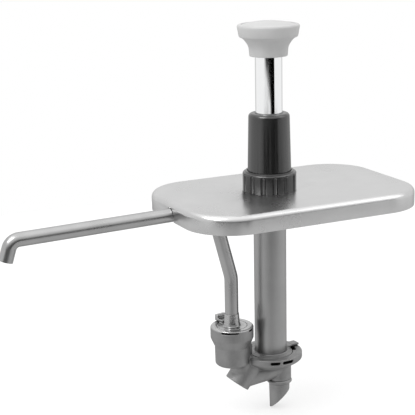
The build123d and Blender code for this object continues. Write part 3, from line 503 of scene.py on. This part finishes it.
cast("valve_body", "valve_casting", grain=0.5 * MM, rounds=6)
cast("cylinder_flange", "cylinder_foot_casting", grain=0.35 * MM, rounds=3)
cast("discharge_fitting", "discharge_fitting_casting", grain=0.35 * MM, rounds=3)
cast("intake_nose", "intake_nose_casting", grain=0.35 * MM, rounds=3)
eased("lid", "lid_pressing", width=0.25 * MM)
eased("knob", "knob_moulding", width=0.5 * MM)
eased("knob_cap", "knob_cap_moulding", width=0.3 * MM)
eased("lock_nut", "lock_nut_moulding", width=0.35 * MM)
eased("plunger_guide", "plunger_guide_moulding", width=0.3 * MM)
eased("passage_plug", "passage_plug_turning", width=0.25 * MM)
spring("return_spring", "return_spring_coil")


# ---------------------------------------------------------------- studio


def white_floor():
    """Pale sweep under the pump, left out of its reflections."""
    lowest = cad_box[0][2]
    form = bmesh.new()
    bmesh.ops.create_circle(form, cap_ends=True, radius=FLOOR_RADIUS, segments=FLOOR_SIDES)
    mesh = bpy.data.meshes.new("floor")
    form.to_mesh(mesh)
    form.free()
    floor = bpy.data.objects.new("floor", mesh)
    floor.location = (0, 0, lowest - FLOOR_GAP)
    floor.visible_glossy = False
    bpy.context.scene.collection.objects.link(floor)
    material, shader = new_material("white_sweep")
    shader.inputs["Base Color"].default_value = grey(FLOOR_GREY)
    shader.inputs["Roughness"].default_value = FLOOR_ROUGHNESS
    shader.inputs["Emission Color"].default_value = grey(1)
    shader.inputs["Emission Strength"].default_value = FLOOR_GLOW
    mesh.materials.append(material)


def directions(world):
    """The turn, in radians, and the rise of the direction looked in."""
    place = add_node(world, "ShaderNodeTexCoord")
    parts = add_node(world, "ShaderNodeSeparateXYZ")
    link(world, place.outputs["Generated"], parts.inputs["Vector"])
    turn = maths(world, "ARCTAN2", parts.outputs["Y"], parts.outputs["X"])
    return turn, parts.outputs["Z"]


def strip(world, value, edges):
    """1 between the middle two edges, easing to 0 at the outer two."""
    rising = ease(world, value, edges[0], edges[1])
    falling = ease(world, value, edges[3], edges[2])
    return multiplied(world, rising, falling)


def band(world, turn, degrees):
    """An upright strip, with its edges in degrees."""
    return strip(world, turn, [math.radians(angle) for angle in degrees])


def door_side(world, rise, rises, degrees):
    """The turn at which one leaning side of the doorway stands."""
    low, high = (math.radians(angle) for angle in degrees)
    return ease(world, rise, *rises, low, high)


def doorway(world, turn, rise):
    """A dark opening in front, less dark higher up."""
    left = door_side(world, rise, DOOR_LEFT_RISES, DOOR_LEFT_TURNS)
    right = door_side(world, rise, DOOR_RIGHT_RISES, DOOR_RIGHT_TURNS)
    past_left = ease(world, maths(world, "SUBTRACT", turn, left), *DOOR_LEFT_BLUR)
    short_of_right = ease(world, maths(world, "SUBTRACT", right, turn), *DOOR_RIGHT_BLUR)
    across = multiplied(world, past_left, short_of_right)
    opening = multiplied(world, across, strip(world, rise, DOOR_RISES))
    return multiplied(world, opening, ease(world, rise, *DOOR_FADE_RISES, *DOOR_DARKNESS))


def patch(world, turn, rise, turns, rises, darkness):
    """A band that darkens from the first rise to the second."""
    return multiplied(world, band(world, turn, turns), ease(world, rise, *rises, 0.0, darkness))


def studio_world():
    """White surroundings with a bright ceiling and five darker regions that shiny parts reflect.

    The camera itself sees plain white.
    """
    world = bpy.data.worlds.new("studio")
    bpy.context.scene.world = world
    world.use_nodes = True
    background = world.node_tree.nodes["Background"]
    background.inputs["Color"].default_value = grey(1)
    turn, rise = directions(world)
    shades = (
        doorway(world, turn, rise),
        multiplied(world, band(world, turn, SHELF_TURNS), strip(world, rise, SHELF_RISES)),
        patch(world, turn, rise, CORNER_TURNS, CORNER_RISES, CORNER_DARKNESS),
        patch(world, turn, rise, WALL_TURNS, WALL_RISES, WALL_DARKNESS),
        ease(world, rise, *GROUND_RISES, 0.0, GROUND_DARKNESS),
    )
    level = maths(world, "ADD", 1.0, ease(world, rise, *CEILING_RISES, 0.0, CEILING_GLOW))
    for shade in shades:
        level = multiplied(world, level, maths(world, "SUBTRACT", 1.0, shade))
    seen = add_node(world, "ShaderNodeLightPath").outputs["Is Camera Ray"]
    link(world, maths(world, "MAXIMUM", level, seen), background.inputs["Strength"])


def outward(azimuth, elevation):
    """Direction from the pump towards a place round it; azimuth 0 is in front, along -Y."""
    turn = math.radians(azimuth)
    rise = math.radians(elevation)
    return Vector((math.sin(turn) * math.cos(rise), -math.cos(turn) * math.cos(rise), math.sin(rise)))


def soft_light(name, azimuth, elevation, distance, size, power):
    """Square soft box that shines at the pump."""
    lamp = bpy.data.lights.new(name, "AREA")
    lamp.shape = "SQUARE"
    lamp.size = size
    lamp.energy = power
    light = bpy.data.objects.new(name, lamp)
    light.location = Vector(LIGHT_AIM) + outward(azimuth, elevation) * distance
    light.rotation_euler = (Vector(LIGHT_AIM) - light.location).to_track_quat("-Z", "Y").to_euler()
    bpy.context.scene.collection.objects.link(light)


def place_camera():
    """Camera at the viewing angle, turned a little about its own axis."""
    data = bpy.data.cameras.new("camera")
    data.lens = CAMERA_LENS
    data.sensor_width = SENSOR_WIDTH
    data.clip_start = CAMERA_NEAR
    camera = bpy.data.objects.new("camera", data)
    place = outward(CAMERA_AZIMUTH, CAMERA_ELEVATION) * CAMERA_DISTANCE
    level = (Vector(CAMERA_AIM) - place).to_track_quat("-Z", "Y").to_matrix()
    turned = level @ Matrix.Rotation(math.radians(CAMERA_ROLL), 3, "Z")
    camera.matrix_world = Matrix.Translation(place) @ turned.to_4x4()
    bpy.context.scene.collection.objects.link(camera)
    bpy.context.scene.camera = camera


white_floor()
studio_world()
soft_light("key", azimuth=-75, elevation=48, distance=1.3, size=0.7, power=7)
soft_light("fill", azimuth=60, elevation=40, distance=1.4, size=0.8, power=2)
place_camera()
bpy.context.scene.view_settings.view_transform = "Standard"
